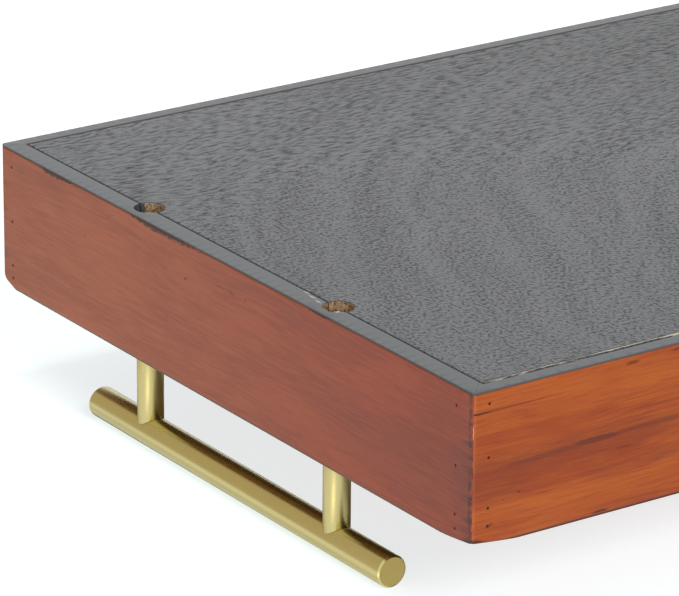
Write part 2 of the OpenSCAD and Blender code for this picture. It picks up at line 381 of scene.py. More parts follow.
def sharp(edge):
    """Whether an edge turns by more than the angle that is shaded smooth."""
    return edge.calc_face_angle() > SMOOTH_ANGLE


def at_height(height, reach_x=math.inf, reach_y=math.inf):
    """A test for edges that lie at a height, inside a rectangle about the middle."""
    return lambda edge: all(
        abs(v.co.z - height) < NEAR and abs(v.co.x) < reach_x + NEAR and abs(v.co.y) < reach_y + NEAR
        for v in edge.verts
    )


def bevel(width, segments=1):
    """Bevel the selected edges."""
    bpy.ops.mesh.bevel(offset=width, offset_pct=0.0, segments=segments, affect="EDGES")


def ease(piece, wanted, width, segments=1):
    """Bevel the edges that wanted() accepts."""
    edit(piece)
    pick(piece, wanted)
    bevel(width, segments)
    close()


def cut(piece, place, normal, kind="EDGE"):
    """Cut off and close what lies beyond a plane, and stay in edit mode."""
    edit(piece, kind)
    bpy.ops.mesh.select_all(action="SELECT")
    bpy.ops.mesh.bisect(plane_co=place, plane_no=normal, use_fill=True, clear_outer=True)


def placed(name):
    """Name the new primitive and put its place into its mesh."""
    piece = bpy.context.active_object
    piece.name = piece.data.name = name
    only(piece)
    bpy.ops.object.transform_apply(location=True, rotation=True, scale=True)
    return piece


def block(name, low, high):
    """A block between two corners."""
    low, high = Vector(low), Vector(high)
    bpy.ops.mesh.primitive_cube_add(size=1.0, location=(low + high) / 2, scale=high - low)
    return placed(name)


def rod(name, start, end, radius, sides):
    """A rod between two points."""
    start, end = Vector(start), Vector(end)
    axis = end - start
    turn = Vector((0.0, 0.0, 1.0)).rotation_difference(axis).to_euler()
    bpy.ops.mesh.primitive_cylinder_add(
        vertices=sides, radius=radius, depth=axis.length, location=(start + end) / 2, rotation=turn
    )
    return placed(name)


def bores(name, radius, top, sides):
    """Rods from below the underside up to a height, one on the axis of each post."""
    return join(*(
        rod(name, (x, y, -OVERRUN), (x, y, top), radius, sides)
        for x in (-POST_X, POST_X) for y in (-POST_Y, POST_Y)
    ))


def carve(piece, waste):
    """Take the waste out of a piece, and remove it."""
    only(piece)
    bpy.ops.object.modifier_add(type="BOOLEAN")
    added = piece.modifiers[-1]
    added.operation = "DIFFERENCE"
    added.object = waste
    added.solver = "EXACT"
    bpy.ops.object.modifier_apply(modifier=added.name)
    remove(waste)


def join(*pieces):
    """Join pieces into the first one."""
    only(*pieces)
    bpy.ops.object.join()
    return pieces[0]


def copy_of(piece, name):
    """A copy of a piece with its own mesh."""
    made = piece.copy()
    made.data = piece.data.copy()
    made.name = made.data.name = name
    bpy.context.scene.collection.objects.link(made)
    return made


def checked(piece):
    """Refuse a piece that a boolean or a cut has emptied or torn open."""
    mesh = bmesh.new()
    mesh.from_mesh(piece.data)
    torn = sum(len(edge.link_faces) != 2 for edge in mesh.edges)
    empty = not mesh.faces
    mesh.free()
    if torn or empty:
        raise RuntimeError(f"{piece.name} is {'empty' if empty else f'open at {torn} edges'}")


def is_broad(face):
    """Whether a face is large and square to an axis."""
    return face.calc_area() > BROAD_AREA and max(abs(turn) for turn in face.normal) > SQUARE_ON


def smooth(piece):
    """Shade a piece smooth by angle, with its broad flat faces kept flat."""
    only(piece)
    bpy.ops.object.shade_smooth_by_angle(angle=SMOOTH_ANGLE)
    edit(piece, "FACE")
    mesh = bmesh.from_edit_mesh(piece.data)
    if any(is_broad(face) for face in mesh.faces):
        pick(piece, is_broad, "faces")
        bpy.ops.mesh.faces_shade_flat()
    close()


def dress(piece, finish):
    """Give a piece its finish, in every slot that it has."""
    slots = piece.data.materials
    if not slots:
        slots.append(finish)
    for at in range(len(slots)):
        slots[at] = finish


def stand_for(piece, node):
    """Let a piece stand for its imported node."""
    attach(piece, "root")
    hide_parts(node)


def hand_over(piece, node, finish):
    """Check, shade and dress a piece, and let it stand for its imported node."""
    checked(piece)
    smooth(piece)
    dress(piece, finish)
    stand_for(piece, node)


def fillers(node):
    """Centre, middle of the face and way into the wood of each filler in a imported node."""
    mesh = bmesh.new()
    mesh.from_mesh(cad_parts[node].data)
    bmesh.ops.remove_doubles(mesh, verts=mesh.verts, dist=NEAR)
    left, found = set(mesh.verts), []
    while left:
        part, ahead = [], [left.pop()]
        while ahead:
            vertex = ahead.pop()
            part.append(vertex.co.copy())
            near = {edge.other_vert(vertex) for edge in vertex.link_edges} & left
            left -= near
            ahead.extend(near)
        low, high = (Vector([extreme(p[i] for p in part) for i in range(3)]) for extreme in (min, max))
        centre, size = (low + high) / 2, high - low
        # The shortest side of a filler is its depth
        if size.x < size.y:
            inward = Vector((-math.copysign(1.0, centre.x), 0.0, 0.0))
        else:
            inward = Vector((0.0, -math.copysign(1.0, centre.y), 0.0))
        found.append((centre, centre - inward * min(size) / 2, inward))
    mesh.free()
    return sorted(found, key=lambda filler: tuple(filler[0]))


# Material helpers


class Value:
    """A socket that plain arithmetic can be written with, which adds the nodes for it."""

    def __init__(self, socket):
        self.socket = socket

    def __add__(self, other):
        return step("ADD", self, other)

    __radd__ = __add__

    def __sub__(self, other):
        return step("SUBTRACT", self, other)

    def __rsub__(self, other):
        return step("SUBTRACT", other, self)

    def __mul__(self, other):
        return step("MULTIPLY", self, other)

    def __truediv__(self, other):
        return step("DIVIDE", self, other)

    def __abs__(self):
        return step("ABSOLUTE", self)

    def __lt__(self, other):
        return step("LESS_THAN", self, other)

    def __gt__(self, other):
        return step("GREATER_THAN", self, other)


def add(kind, inputs, tree=None, **settings):
    """Add a node to the tree of its linked inputs, set it, and set or link its inputs by name or number."""
    tree = tree or next(value.socket.id_data for value in inputs.values() if isinstance(value, Value))
    made = tree.nodes.new(kind)
    for name, value in settings.items():
        setattr(made, name, value)
    for key, value in inputs.items():
        if isinstance(value, Value):
            tree.links.new(value.socket, made.inputs[key])
        else:
            made.inputs[key].default_value = value
    return made


def output_of(kind, inputs, output=0, **settings):
    """One output of a new node."""
    return Value(add(kind, inputs, **settings).outputs[output])


def given(tree, kind, output):
    """One output of a node that has no inputs."""
    return Value(tree.nodes.new(kind).outputs[output])


def step(operation, first, second=0.0):
    """One step of arithmetic."""
    return output_of("ShaderNodeMath", {0: first, 1: second}, operation=operation)


def larger(first, second):
    """The larger of two values."""
    return step("MAXIMUM", first, second)


def vector(operation, first, second=ORIGIN):
    """One step of arithmetic with vectors."""
    output = "Value" if operation == "LENGTH" else "Vector"
    return output_of("ShaderNodeVectorMath", {0: first, 1: second}, output, operation=operation)


def joined(x=0.0, y=0.0, z=0.0):
    """A vector from its three numbers."""
    return output_of("ShaderNodeCombineXYZ", {0: x, 1: y, 2: z})


def parts(place):
    """The three numbers of a vector."""
    return [Value(socket) for socket in add("ShaderNodeSeparateXYZ", {0: place}).outputs]


def mapped(place, scale=(1.0, 1.0, 1.0), move=ORIGIN, turn=ORIGIN):
    """A place scaled, turned and moved."""
    inputs = {"Vector": place, "Location": move, "Rotation": turn, "Scale": scale}
    return output_of("ShaderNodeMapping", inputs)


def noise(place, scale, move=ORIGIN, detail=2.0, roughness=0.5, distortion=0.0):
    """Smooth noise from 0 to 1, with its place scaled by one number or by three."""
    if isinstance(scale, tuple):
        place, scale = mapped(place, scale, move), 1.0
    inputs = {"Vector": place, "Scale": scale, "Detail": detail, "Roughness": roughness, "Distortion": distortion}
    return output_of("ShaderNodeTexNoise", inputs, "Fac")


def span(value, low, high, to_low=0.0, to_high=1.0, kind="SMOOTHSTEP"):
    """Map a value from one range to another, held at both ends."""
    inputs = {"Value": value, "From Min": low, "From Max": high, "To Min": to_low, "To Max": to_high}
    return output_of("ShaderNodeMapRange", inputs, interpolation_type=kind)


def mixed(factor, first, second):
    """The first colour where the factor is 0, and the second where it is 1."""
    return output_of("ShaderNodeMix", {0: factor, 6: first, 7: second}, 2, data_type="RGBA")


def layered(skin, *layers):
    """A skin with further colours over it in their order, each where its mask is."""
    for mask, tone in layers:
        skin = mixed(mask, skin, tone)
    return skin


def bump(height, distance):
    """A normal from a height, in metres."""
    return output_of("ShaderNodeBump", {"Height": height, "Distance": distance})


def material(name, place="Object"):
    """An empty material, and the place on the object or in its UV map."""
    made = bpy.data.materials.new(name)
    made.use_nodes = True
    made.node_tree.nodes.clear()
    return made, given(made.node_tree, "ShaderNodeTexCoord", place)


def end_in(surface):
    """End a material in its surface."""
    add("ShaderNodeOutputMaterial", {"Surface": surface})


def shade(inputs):
    """End a material in a Principled shader."""
    end_in(output_of("ShaderNodeBsdfPrincipled", inputs))


def effect(name, gives, **takes):
    """Make a node group of a function from its inputs to its outputs. It is built once, at its first use."""

    def built(write):
        tree = bpy.data.node_groups.new(name, "ShaderNodeTree")
        for label, default in takes.items():
            kind = "NodeSocketFloat" if isinstance(default, float) else "NodeSocketVector"
            tree.interface.new_socket(label, in_out="INPUT", socket_type=kind).default_value = default
        for label in gives:
            tree.interface.new_socket(label, in_out="OUTPUT", socket_type="NodeSocketFloat")
        start = tree.nodes.new("NodeGroupInput").outputs
        finish = tree.nodes.new("NodeGroupOutput").inputs
        for label, layer in zip(gives, write(*(Value(start[label]) for label in takes))):
            tree.links.new(layer.socket, finish[label])
        return tree

    def shared(write):
        def use(**inputs):
            made = add("ShaderNodeGroup", inputs, node_tree=bpy.data.node_groups.get(name) or built(write))
            return {label: Value(made.outputs[label]) for label in gives}

        return use

    return shared


# Shared effects


@effect("Wood grain", ("Figure", "Streak", "Fibre", "Blotch", "Plum", "Ticks"), Place=ORIGIN)
def wood_grain(place):
    """Wood grain along X: broad figure, streaks, fine fibres, stain blotches, purple bands and dark ticks."""
    sway = noise(place, (12.0, 30.0, 30.0)) * 0.005
    place = vector("ADD", place, joined(0.0, sway, sway))
    figure = noise(place, (5.0, 60.0, 60.0), distortion=0.2)
    streak = noise(place, (14.0, 420.0, 420.0), detail=3.0, roughness=0.6)
    fibre = noise(place, (55.0, 1150.0, 1150.0), detail=3.0, roughness=0.65)
    blotch = noise(place, (16.0, 34.0, 34.0), detail=3.0, roughness=0.55)
    band = noise(place, (9.0, 170.0, 170.0), move=(3.0, 1.0, 2.0), distortion=0.3)
    ticks = noise(place, (110.0, 1500.0, 1500.0), move=(2.0, 4.0, 1.0))
    return figure, streak, fibre, blotch, span(band, 0.60, 0.76), span(ticks, 0.62, 0.74)


@effect("Paint lap", ("Paint",), Place=ORIGIN)
def paint_lap(place):
    """Black paint on the underside, with the ragged edge where it laps over the foot."""
    ragged = noise(place, 650.0, detail=4.0, roughness=0.7)
    broad = noise(place, 28.0)
    spikes = span(broad, 0.56, 0.70) * span(ragged, 0.45, 0.75)
    return (parts(place)[2] < spikes * 0.0011 + 0.00006 + ragged * 0.0006,)


@effect("Mark", ("Mask",), Place=ORIGIN, Centre=ORIGIN, Reach=(0.001, 0.001, 0.001), Rise=0.0, Fray=0.5)
def mark(place, centre, reach, rise, fray):
    """One streak or speck, with frayed edges."""
    away = vector("SUBTRACT", place, centre)
    across, along, _ = parts(away)
    away = vector("SUBTRACT", away, joined(z=(across - along) * rise))
    far = vector("LENGTH", vector("DIVIDE", away, reach))
    frayed = noise(place, (420.0, 420.0, 1300.0), detail=3.0, roughness=0.7)
    return (span(far + (frayed - 0.5) * fray, 1.05, 0.45),)


@effect("Edge wear", ("Chips", "Scratches", "Line"), Place=ORIGIN)
def edge_wear(place):
    """Wear along the upright edges: chips, short dark scratches beside them and a dark line on the end face."""
    across, along, height = parts(place)
    in_x, in_y = HALF_L - abs(across), HALF_W - abs(along)
    inward = in_x + in_y
    on_end = in_x < 0.0006
    spots = noise(place, (300.0, 300.0, 190.0), detail=4.0, roughness=0.7)
    low = span(height, 0.0085, 0.0060, 0.0, 0.00008)
    middle = span(abs(height - 0.0150), 0.0030, 0.0012, 0.0, 0.00014)
    chips = span(spots * 0.0012 - abs(in_x - in_y) + (low + middle), 0.00062, 0.00076) * (inward < 0.0030)
    hairs = noise(place, (70.0, 70.0, 1500.0), move=(2.0, 1.0, 3.0))
    beside = span(inward, 0.0090, 0.0010) * span(height, 0.008, 0.014) * on_end
    broken = noise(place, (600.0, 600.0, 420.0), move=(1.0, 2.0, 5.0), detail=4.0)
    line = span(abs(inward - 0.0017), 0.0010, 0.0003) * on_end * span(broken, 0.42, 0.56)
    return chips, span(hairs, 0.54, 0.62) * beside, line


@effect("Counterbores", ("Inside", "Bare", "Crumbs"), Place=ORIGIN, Radius=0.006)
def counterbore(place, radius):
    """Inside of the screw counterbores: bare wood, with paint on the outer side of the front ones, and dark specks that
    are partly rough wood and partly painted shade in the hollow.
    """
    across, along, height = parts(place)
    off_x, off_y = abs(across) - POST_X, abs(along) - POST_Y
    ragged = noise(place, 900.0, detail=3.0) * 0.0012
    inside = (vector("LENGTH", joined(off_x, off_y)) < radius + 0.00006) * (height > ragged - 0.0004)
    bare = larger(along > 0.0, off_x - ragged < -0.0022)
    crumbs_and_shade = noise(place, (900.0, 900.0, 800.0), detail=4.0, roughness=0.7)
    return inside, bare, span(crumbs_and_shade, 0.32, 0.58)


def marked(place, marks):
    """The joint mask of a list of marks: centre, half size, rise, depth of tone and fray."""
    soiled = 0.0
    for centre, reach, rise, depth, fray in marks:
        soiled = larger(mark(Place=place, Centre=centre, Reach=reach, Rise=rise, Fray=fray)["Mask"] * depth, soiled)
    return soiled


def drilled(place, skin, colours):
    """The skin, with the inside of the counterbores over it."""
    bore = counterbore(Place=place)
    # Dark specks in the bare wood: partly rough wood, partly painted shade in the counterbores
    bare = mixed(bore["Crumbs"], colours.grime_and_shade, colours.raw_wood)
    return mixed(bore["Inside"], skin, mixed(bore["Bare"], colours.paint, bare))


# Finishes


def rail_finish(name, colours, tones, turn, weights, reach, marks, streaks, laps):
    """Stained wood of a rail, painted black underneath."""
    made, place = material(name)
    grain = wood_grain(Place=mapped(place, turn=(0.0, 0.0, turn)))
    tone = span(sum(grain[layer] * weight for layer, weight in weights.items()), 0.5 - reach, 0.5 + reach)
    across, along, height = parts(place)
    wood = mixed(tone, *tones[:2])
    if len(tones) > 2:
        # Painted shade: darker towards +Y, for the weaker sheen on that part of the end face, with blotches of stain in
        # it
        dimmed_sheen = span(along + grain["Blotch"] * 0.10, -0.10, 0.26, 0.0, 0.9)
        wood = mixed(dimmed_sheen, wood, mixed(tone, *tones[2:]))
    wear = edge_wear(Place=place)
    # Painted shade: the outer rounding of the rim is darkened, reaching further down near the sanded corners
    lowered = span(abs(across) + abs(along), HALF_L + HALF_W - 0.011, HALF_L + HALF_W, 0.0, 0.0028)
    rim = span(height + lowered, RAIL_H - 0.0026, RAIL_H - 0.0012, 0.0, 0.85)
    outer_x, outer_y = (
        span(abs(off), half - 0.0030, half - 0.0020) for off, half in ((across, HALF_L), (along, HALF_W))
    )
    painted = paint_lap(Place=place)["Paint"]
    wood = layered(
        wood,
        (grain["Plum"] * 0.22, colours.plum),
        (grain["Ticks"] * 0.30, colours.plum),
        (marked(place, streaks), colours.plum),
        (wear["Scratches"] * 0.85, colours.grime_and_shade),
        (wear["Line"] * 0.75, colours.grime_and_shade),
        (wear["Chips"], colours.chip),
        (marked(place, marks), colours.grime_and_shade),
        # Painted shade along the outer rounding of the rim
        (rim * larger(outer_x, outer_y), colours.grime_and_shade),
        (span(height, 0.00090, 0.00045, 0.0, 0.80), colours.foot),
    )
    if laps:
        wood = mixed(span(marked(place, laps), 0.35, 0.60, 0.0, 0.95), wood, colours.filler)
    skin = layered(wood, (painted, colours.paint), (marked(place, SEAM_CHIPS), colours.putty))
    shade({
        "Base Color": drilled(place, skin, colours),
        "Roughness": span(painted, 0.0, 1.0, 0.42, 0.24),
        "IOR": 1.52,
        "Normal": bump(grain["Fibre"], 0.00003),
    })
    return made


def rail_finishes(colours):
    """The finishes of the end rails and the side rails, each made once."""
    looks = {
        "End rail wood": (
            (colours.end_dark, colours.end_stain, colours.end_deep_low_sheen, colours.end_pool_low_sheen), math.pi / 2,
            {"Blotch": 0.35, "Figure": 0.10, "Streak": 0.15, "Fibre": 0.40}, 0.09,
            END_MARKS, END_STREAKS, END_LAPS,
        ),
        "Side rail wood": (
            (colours.side_dark, colours.side_stain), 0.0,
            {"Figure": 0.30, "Streak": 0.15, "Blotch": 0.20, "Fibre": 0.35}, 0.13,
            SIDE_MARKS, SIDE_STREAKS, (),
        ),
    }
    return [bpy.data.materials.get(name) or rail_finish(name, colours, *look) for name, look in looks.items()]


def panel_finish(colours, sizes):
    """Open-pored panel, painted black underneath and stained on top."""
    made, place = material("Panel paint and stain")
    across, along, height = parts(place)
    off_x, off_y, _ = parts(vector("SUBTRACT", place, FIGURE_HEART))
    wander = noise(place, (8.0, 10.0, 1.0))
    ring = vector("LENGTH", joined(off_x, off_y)) + wander * 0.05
    turn = step("ARCTAN2", off_y, off_x) * 0.30
    growth = noise(joined(ring, turn), (85.0, 7.0, 1.0), detail=3.0, roughness=0.6)
    drawn = joined(across, along + wander * 0.030)
    short = noise(drawn, (820.0, 640.0, 1.0))
    long = noise(drawn, (190.0, 560.0, 1.0), detail=3.0, roughness=0.6)
    # The pores are long and thin towards the front and short at the back
    share_long = span(wander - along * 4.5, 0.10, 1.10)
    share_short = 1.0 - share_long
    pores = (short * share_short + long * share_long - 0.5) / vector("LENGTH", joined(share_short, share_long))
    pored = span(pores + (growth - 0.5) * 0.24, -0.22, 0.09, kind="LINEAR")
    pit_and_shade = (0.005, 0.006, 0.008, 1.0)
    stain = mixed(wood_grain(Place=place)["Figure"], colours.side_dark, colours.side_stain)
    top = height > PANEL_T - 0.0003
    dabs = noise(place, (75.0, 900.0, 900.0), detail=4.0, roughness=0.65)
    bead = (along > PANEL_HIGH.y - sizes.bead) * span(dabs, 0.49, 0.57)
    skin = layered(
        pit_and_shade,
        (pored, colours.worn_paint),
        # Painted shade: the paint darkens towards +X and -Y, where the face shows less sheen
        (span(across - along, -0.06, 0.24, 0.0, 0.55), pit_and_shade),
        (top, stain),
        (bead, colours.putty),
    )
    shade({
        "Base Color": drilled(place, skin, colours),
        "Roughness": larger(span(pored, 0.0, 1.0, 0.60, 0.28), top * 0.42),
        "IOR": 1.56,
        "Normal": bump(pored, 0.00016),
    })
    return made


def brass_finish(colours):
    """Satin brass with fine turning lines, painted darker on the turned ends of the bars for the darker surroundings
    that they reflect, and duller on the posts.
    """
    made, place = material("Satin brass")
    lines = noise(place, (900.0, 120.0, 900.0))
    _, along, height = parts(place)
    shade({
        "Base Color": mixed(abs(along) > BAR_HIGH.y - 0.00008, colours.brass, colours.brass_end_dim_reflection),
        "Metallic": 1.0,
        "Roughness": span(lines, 0.2, 0.8, 0.24, 0.28) + span(height, BAR_LOW.z, BAR_LOW.z - 0.006, 0.0, 0.10),
    })
    return made


def steel_finish(colours):
    """Bright zinc plate."""
    made, place = material("Zinc plate")
    spots = noise(place, 700.0)
    shade({
        "Base Color": mixed(spots, colours.steel, (0.97, 0.97, 0.97, 1.0)),
        "Metallic": 1.0,
        "Roughness": span(spots, 0.3, 0.7, 0.18, 0.36),
        "Normal": bump(spots, 0.0009),
    })
    return made


def filler_finish(colours):
    """Dark filler over a brad."""
    made, place = material("Brad filler")
    spots = noise(place, 1400.0, detail=3.0)
    shade({
        "Base Color": mixed(span(spots, 0.35, 0.75), colours.filler, colours.plum),
        "Roughness": 0.8,
        "Normal": bump(spots, 0.0001),
    })
    return made


# Operators


class TRAY_OT_studio(bpy.types.Operator):
    """Set up the floors, the lamps, the cards, the world and the camera"""

    bl_idname = "tray.studio"
    bl_label = "Studio and camera"

    def execute(self, context):
        studio = context.scene.tray_studio
        context.scene.view_settings.view_transform = "Standard"
        self.world(context, studio)
        for name, source, spread in LAMPS:
            self.sun(name, getattr(studio, name), source, spread)
        finish = self.floor_finish(studio)
        for name, height, turn in (
            ("floor_below", -FLOOR_GAP, 0.0),
            ("floor_over", BAR_Z + BAR_R + FLOOR_GAP, math.pi),
        ):
            bpy.ops.mesh.primitive_plane_add(size=FLOOR_SIZE, location=(0.0, 0.0, height), rotation=(turn, 0.0, 0.0))
            floor = placed(name)
            self.hide(floor, "glossy")
            dress(floor, finish)
        for card in CARDS:
            self.card(*card)
        self.camera(context, studio)
        return {"FINISHED"}

    def hide(self, piece, also):
        """Hide a stage piece from matt surfaces, glass, shadows and one kind of ray more."""
        for ray in ("diffuse", "transmission", "shadow", also):
            setattr(piece, f"visible_{ray}", False)

    def world(self, context, studio):
        """White for the camera, metal and glass, and plain ambient light for the rest."""
        world = bpy.data.worlds.new("Studio")
        context.scene.world = world
        world.use_nodes = True
        world.node_tree.nodes.clear()
        rays = world.node_tree.nodes.new("ShaderNodeLightPath").outputs
        camera, gloss, glass = (Value(rays[f"Is {kind} Ray"]) for kind in ("Camera", "Glossy", "Transmission"))
        strength = span(larger(larger(camera, gloss), glass), 0.0, 1.0, studio.ambient, 1.0, kind="LINEAR")
        light = output_of("ShaderNodeBackground", {"Color": (1.0, 1.0, 1.0, 1.0), "Strength": strength})
        add("ShaderNodeOutputWorld", {"Surface": light})

    def sun(self, name, strength, source, spread):
        """A soft sun that shines from the direction of source."""
        bpy.ops.object.light_add(type="SUN", location=source)
        light = bpy.context.active_object
        light.name = name
        light.data.energy = strength
        light.data.angle = math.radians(spread)
        light.rotation_euler = Vector(source).to_track_quat("Z", "Y").to_euler()
        light.visible_glossy = False

    def floor_finish(self, studio):
        """Matt floor that is white in the open, keeps the shadow and is clear from behind."""
        made, _ = material("Studio floor")
        tree = made.node_tree
        matt = output_of("ShaderNodeBsdfDiffuse", {"Color": (studio.floor_grey,) * 3 + (1.0,)}, tree=tree)
        strength = given(tree, "ShaderNodeLightPath", "Is Camera Ray") * studio.floor_glow
        glow = output_of("ShaderNodeEmission", {"Color": (0.925, 1.035, 1.060, 1.0), "Strength": strength})
        lit = output_of("ShaderNodeAddShader", {0: matt, 1: glow})
        behind = given(tree, "ShaderNodeNewGeometry", "Backfacing")
        end_in(output_of("ShaderNodeMixShader", {0: behind, 1: lit, 2: given(tree, "ShaderNodeBsdfTransparent", 0)}))
        return made

    def card(self, name, centre, facing, wide, high, soft, tone, middle=None):
        """A soft-edged card that only gloss shows, from the side that it faces."""
        bpy.ops.mesh.primitive_plane_add(size=1.0)
        bpy.ops.transform.resize(value=(wide, high, 1.0))
        card = placed(name)
        card.rotation_euler = Vector(facing).to_track_quat("Z", "Y").to_euler()
        card.location = centre
        placed(name)
        self.hide(card, "camera")
        made, place = material(name, "UV")
        tree = made.node_tree
        across, up, _ = parts(place)
        inward = step("MINIMUM", (0.5 - abs(across - 0.5)) * wide, (0.5 - abs(up - 0.5)) * high)
        shown = span(inward, 0.0, soft) * (1.0 - given(tree, "ShaderNodeNewGeometry", "Backfacing"))
        hue = tone + (1.0,)
        if middle:
            hue = mixed(span(inward, RAIL_T - 0.002, RAIL_T + 0.004), hue, middle + (1.0,))
        glow = output_of("ShaderNodeEmission", {"Color": hue}, tree=tree)
        end_in(output_of("ShaderNodeMixShader", {0: shown, 1: given(tree, "ShaderNodeBsdfTransparent", 0), 2: glow}))
        dress(card, made)

    def camera(self, context, studio):
        """The camera looks up at the underside, with its own top turned down."""
        azimuth, elevation, roll = studio.look_azimuth, studio.look_elevation, studio.roll
        ahead = Vector((
            math.cos(elevation) * math.cos(azimuth),
            math.cos(elevation) * math.sin(azimuth),
            math.sin(elevation),
        ))
        level = Vector((-math.sin(azimuth), math.cos(azimuth), 0.0))
        over = level.cross(ahead)
        right = math.cos(roll) * level + math.sin(roll) * over
        top = math.cos(roll) * over - math.sin(roll) * level
        bpy.ops.object.camera_add(location=studio.place)
        camera = context.active_object
        camera.name = "view_camera"
        camera.data.lens = studio.lens
        camera.data.clip_end = CLIP_END
        camera.rotation_euler = Matrix((right, top, -ahead)).transposed().to_euler()
        context.scene.camera = camera


class TRAY_OT_rails(bpy.types.Operator):
    """Build the four mitred rails from one rebated frame"""

    bl_idname = "tray.rails"
    bl_label = "Mitred rails"

    def execute(self, context):
        sizes = context.scene.tray_frame
        ring = self.ring(sizes)
        self.holes(ring, sizes)
        end_finish, side_finish = rail_finishes(context.scene.tray_colours)
        for name, outward, slot, finish in (
            ("end_rail_left", (-1.0, 0.0, 0.0), "end_wood", end_finish),
            ("end_rail_right", (1.0, 0.0, 0.0), "end_wood", end_finish),
            ("side_rail_front", (0.0, -1.0, 0.0), "side_wood", side_finish),
            ("side_rail_back", (0.0, 1.0, 0.0), "side_wood", side_finish),
        ):
            rail = self.mitred(ring, name, Vector(outward), sizes)
            hand_over(rail, name, finish)
            rail.name = name + "_wood"
        remove(ring)
        return {"FINISHED"}

    def ring(self, sizes):
        """The whole frame before it is cut into rails."""
        ring = block("frame_ring", (-HALF_L, -HALF_W, 0.0), (HALF_L, HALF_W, RAIL_H))
        edit(ring)
        pick(ring, at_height(0.0))
        bpy.ops.mesh.subdivide(number_cuts=sizes.arris_steps)
        bevel(sizes.foot_round, FOOT_SEGMENTS)
        ease(ring, at_height(RAIL_H), sizes.rim_round, RIM_SEGMENTS)
        # One row of points in the foot's rounding wanders, as on a worn edge
        row_low, row_high = 0.2 * sizes.foot_round, 0.4 * sizes.foot_round
        edit(ring, "VERT")
        pick(ring, lambda v: row_low < v.co.z < row_high, "verts")
        bpy.ops.transform.vertex_random(offset=sizes.arris_wear, seed=WEAR_SEED)
        close()
        self.sand_tips(ring, sizes)
        inner_x, inner_y = HALF_L - RAIL_T, HALF_W - RAIL_T
        carve(ring, block("opening", (-inner_x, -inner_y, -OVERRUN), (inner_x, inner_y, RAIL_H + OVERRUN)))
        ease(ring, at_height(RAIL_H, inner_x, inner_y), sizes.rim_round, RIM_SEGMENTS)
        for side_x in (-1, 1):
            for side_y, radius in ((-1, sizes.front_round), (1, sizes.corner_round)):
                carve(ring, self.corner_waste(side_x, side_y, radius))
        return ring

    def sand_tips(self, ring, sizes):
        """Sand the four corners of the rim round, in flats that are then shaded smooth."""
        for side_x in (-1, 1):
            for side_y, run, drop in (
                (1.0, sizes.tip_run, sizes.tip_drop),
                (-1.0, sizes.front_run, sizes.tip_drop),
                (-1.0, sizes.knock_run, sizes.knock_drop),
            ):
                self.sand_tip(ring, sizes, Vector((side_x, side_y, 0.0)), run, drop)
        close()

    def sand_tip(self, ring, sizes, side, run, drop):
        """Sand one corner of the rim in five flats."""
        tip = Vector((side.x * HALF_L, side.y * HALF_W, RAIL_H))
        for turn in TIP_LEANS:
            lean = math.radians(turn)
            out = Vector((side.x * math.cos(lean), side.y * math.sin(lean), 0.0))
            # The flats beside the middle one lie deeper, so that they meet the rounding of the rim
            deeper = abs(45 - turn) / 120
            spread = math.cos(lean) + math.sin(lean)
            flat = run * min(math.cos(lean), math.sin(lean))
            place = tip - out * (flat + sizes.rim_round * (spread / 2 + deeper))
            out.z = (run / math.sqrt(2) + sizes.rim_round / math.sqrt(2)) / drop
            cut(ring, place, out.normalized())

    def corner_waste(self, side_x, side_y, radius):
        """What the rounding takes off one upright corner."""
        centre = Vector((side_x * (HALF_L - radius), side_y * (HALF_W - radius), 0.0))
        out = Vector((side_x * 2 * radius, side_y * 2 * radius, 0.0))
        low = Vector([min(a, b) for a, b in zip(centre, centre + out)])
        high = Vector([max(a, b) for a, b in zip(centre, centre + out)])
        waste = block("corner_waste", low - Vector((0, 0, OVERRUN)), high + Vector((0, 0, RAIL_H + OVERRUN)))
        up = Vector((0.0, 0.0, RAIL_H + 2 * OVERRUN))
        carve(waste, rod("corner_core", centre - up / 2, centre + up + up / 2, radius, POST_SIDES))
        return waste

    def holes(self, ring, sizes):
        """The rebate, the screw channels and the brad holes."""
        reach_x, reach_y = HALF_L - sizes.end_lip, HALF_W - sizes.side_lip
        carve(ring, block("pocket", (-reach_x, -reach_y, -OVERRUN), (reach_x, reach_y, PANEL_T)))
        ease(ring, at_height(0.0, reach_x, reach_y), sizes.seam_ease)
        carve(ring, bores("bore", sizes.bore_r, sizes.bore_deep, BORE_SIDES))
        carve(ring, bores("channel", sizes.screw_hole_r, RAIL_H + OVERRUN, HOLE_SIDES))
        places = [filler for node in FILLERS for filler in fillers(node)]
        for name, radius, deep, sides in (
            ("recess", sizes.dot_hole_r, sizes.dot_hole_deep, DOT_SIDES),
            ("shaft", sizes.brad_hole_r, sizes.brad_hole_deep, SHAFT_SIDES),
        ):
            carve(ring, join(*(
                rod(name, centre - inward * OVERRUN, face + inward * deep, radius, sides)
                for centre, face, inward in places
            )))

    def mitred(self, ring, name, outward, sizes):
        """One rail, cut from the frame at its two mitres."""
        rail = copy_of(ring, name)
        across = Vector((outward.y, outward.x, 0.0))
        for way in (-1, 1):
            corner = Vector((
                HALF_L * (outward.x + way * across.x), HALF_W * (outward.y + way * across.y), 0.0
            ))
            normal = (across * way - outward).normalized()
            cut(rail, corner, normal, "VERT")
            ease(rail, lambda edge: (
                all(abs((v.co - corner).dot(normal)) < NEAR for v in edge.verts)
                and len(edge.link_faces) == 2
                and sharp(edge)
            ), sizes.mitre_ease)
            edit(rail)
            bpy.ops.mesh.select_all(action="SELECT")
            bpy.ops.mesh.remove_doubles(threshold=NEAR)
            bpy.ops.mesh.dissolve_degenerate(threshold=NEAR)
            close()
        return rail


